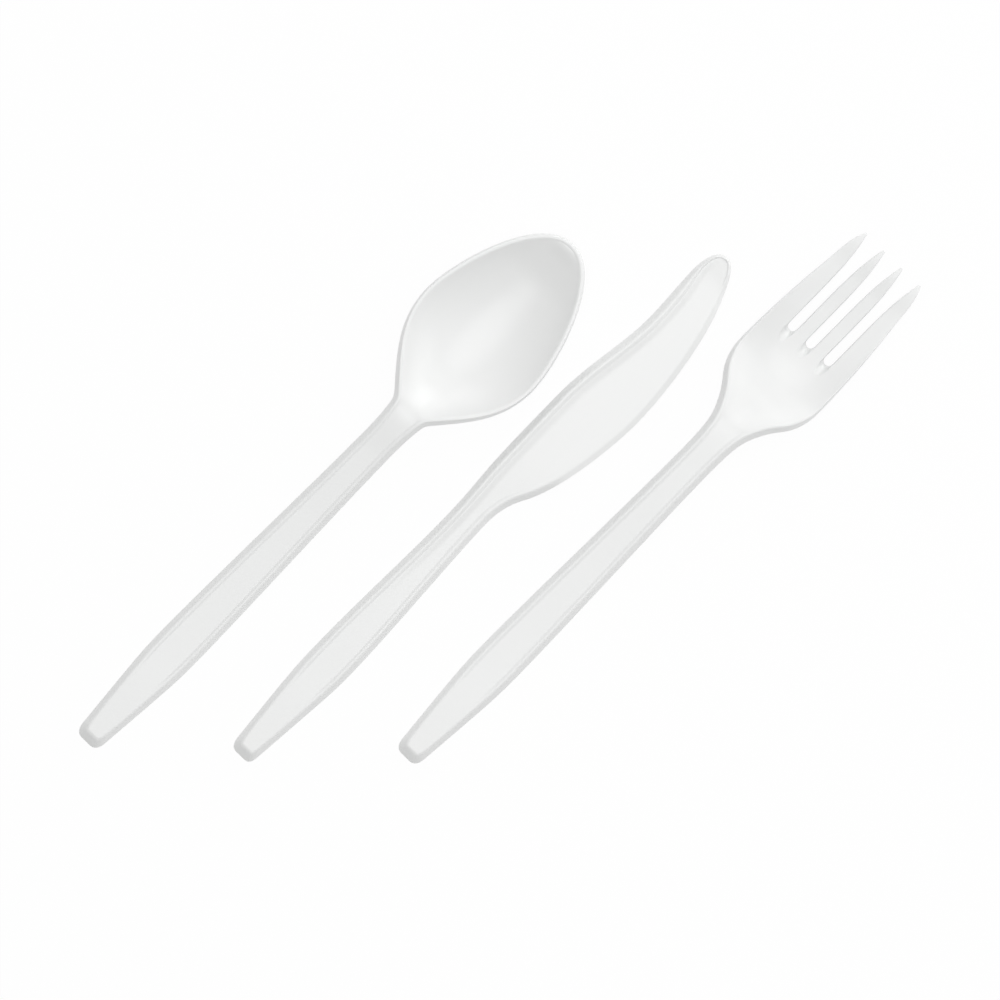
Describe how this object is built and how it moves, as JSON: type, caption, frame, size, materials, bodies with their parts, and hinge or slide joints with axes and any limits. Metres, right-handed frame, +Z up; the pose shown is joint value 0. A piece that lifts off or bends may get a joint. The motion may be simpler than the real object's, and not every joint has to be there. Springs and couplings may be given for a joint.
{
  "type": "plastic cutlery set",
  "caption": "White moulded plastic spoon, knife and fork lying side by side, with channelled handles, a deep bowl, a ribbed blade and a slotted fork head.",
  "frame": {"origin": "middle of the set's bounding box, on the table that it lies on", "axes": "+Y from the handle ends to the tips, +X from the spoon to the fork, +Z up, out of the bowl"},
  "size_m": [0.087, 0.2152, 0.0098],
  "materials": {
    "white_plastic": "soft gloss, as moulded"
  },
  "bodies": {
    "root": {"spoon": "white_plastic", "knife": "white_plastic", "fork": "white_plastic"}
  },
  "joints": []
}
